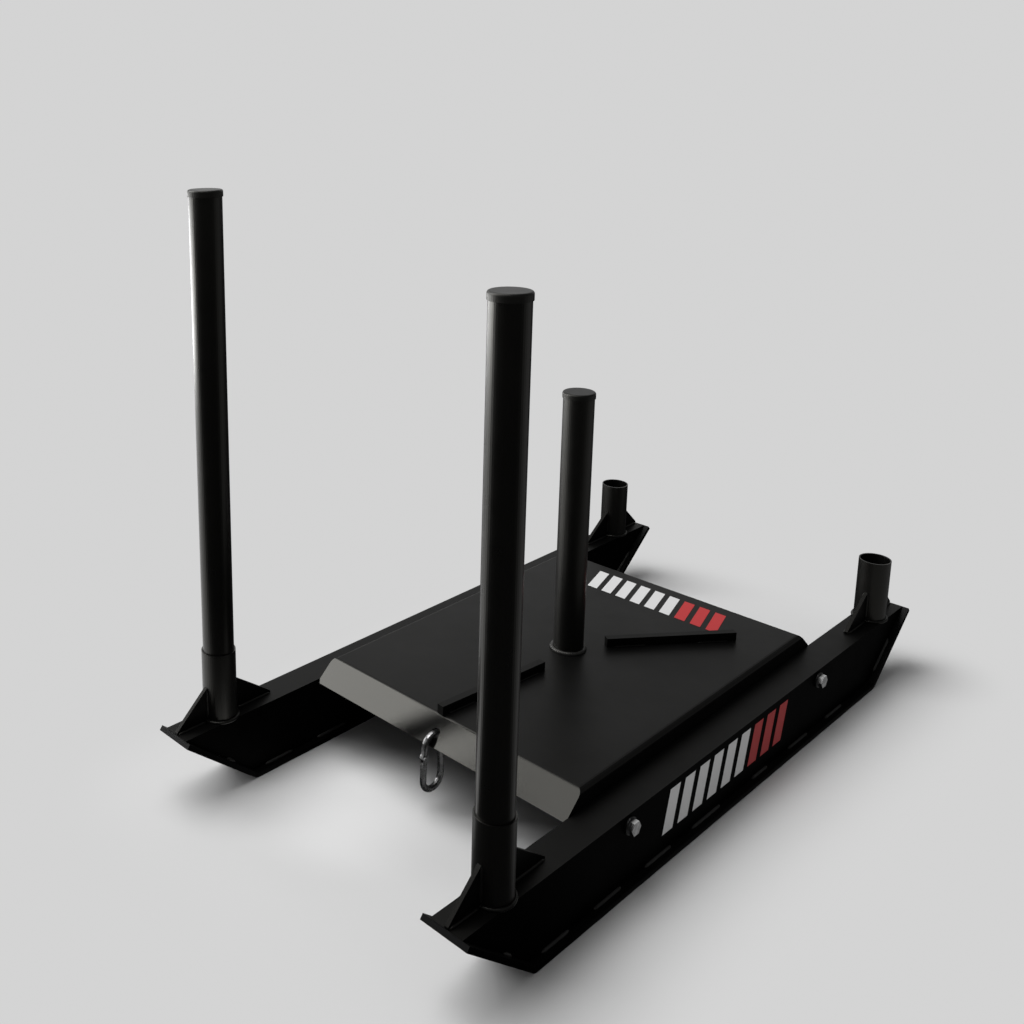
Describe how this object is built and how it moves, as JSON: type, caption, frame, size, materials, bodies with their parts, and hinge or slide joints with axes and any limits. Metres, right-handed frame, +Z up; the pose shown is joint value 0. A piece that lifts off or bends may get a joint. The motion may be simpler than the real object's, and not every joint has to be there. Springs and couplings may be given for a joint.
{
  "type": "push sled",
  "caption": "Push sled for weight plates: skid runners with upswept ends, a folded deck with a plate post, corner sockets, upright push poles and a snap hook.",
  "frame": {"origin": "middle of the footprint, on the floor under the skid shoes", "axes": "+Z up, +Y along the runners from the end with the push poles to the other, +X across the sled"},
  "size_m": [0.612, 1.2604, 0.933],
  "materials": {
    "powder_coat": "satin black powder coat",
    "shoe_coat": "satin black powder coat, scuffed underneath",
    "gloss_coat": "semi-gloss black",
    "cap_plastic": "moulded black plastic",
    "black_steel": "black zinc",
    "hook_steel": "zinc plated"
  },
  "bodies": {
    "frame": {"runner_body_left": "powder_coat", "skid_shoe_left": "shoe_coat", "socket_near_left": "powder_coat", "gusset_outer_near_left": "powder_coat", "gusset_inner_near_left": "powder_coat", "deck_bolt_near_left": "black_steel", "bolt_washer_near_left": "black_steel", "bolt_nut_near_left": "black_steel", "socket_far_left": "powder_coat", "gusset_outer_far_left": "powder_coat", "gusset_inner_far_left": "powder_coat", "deck_bolt_far_left": "black_steel", "bolt_washer_far_left": "black_steel", "bolt_nut_far_left": "black_steel", "runner_body_right": "powder_coat", "skid_shoe_right": "shoe_coat", "socket_near_right": "powder_coat", "gusset_outer_near_right": "powder_coat", "gusset_inner_near_right": "powder_coat", "deck_bolt_near_right": "black_steel", "bolt_washer_near_right": "black_steel", "bolt_nut_near_right": "black_steel", "socket_far_right": "powder_coat", "gusset_outer_far_right": "powder_coat", "gusset_inner_far_right": "powder_coat", "deck_bolt_far_right": "black_steel", "bolt_washer_far_right": "black_steel", "bolt_nut_far_right": "black_steel", "deck_tray": "powder_coat", "deck_stiffener_near": "powder_coat", "deck_stiffener_far": "powder_coat", "centre_post": "powder_coat", "centre_post_cap": "cap_plastic", "plate_rest_near": "powder_coat", "plate_rest_far_right": "powder_coat", "plate_rest_far_left": "powder_coat"},
    "pole_left": {"pole_left": "gloss_coat", "pole_cap_left": "cap_plastic"},
    "pole_right": {"pole_right": "gloss_coat", "pole_cap_right": "cap_plastic"},
    "carabiner": {"carabiner_body": "hook_steel"},
    "carabiner_gate": {"carabiner_gate": "hook_steel", "carabiner_gate_pin": "hook_steel"}
  },
  "joints": [
    {"name": "pole_left_lift", "type": "slide", "parent": "frame", "child": "pole_left", "axis": [0, 0, 1], "range_m": [0, 0.14]},
    {"name": "pole_right_lift", "type": "slide", "parent": "frame", "child": "pole_right", "axis": [0, 0, 1], "range_m": [0, 0.14]},
    {"name": "carabiner_swing", "type": "hinge", "parent": "frame", "child": "carabiner", "pos_m": [0, -0.34711, 0.11737], "axis": [-1, 0, 0], "range_deg": [-5, 20]},
    {"name": "carabiner_gate_open", "type": "hinge", "parent": "carabiner", "child": "carabiner_gate", "pos_m": [0, -0.36498, 0.09079], "axis": [1, 0, 0], "range_deg": [0, 25], "stiffness_Nm_per_rad": 0.02, "springref_deg": -17.19}
  ]
}
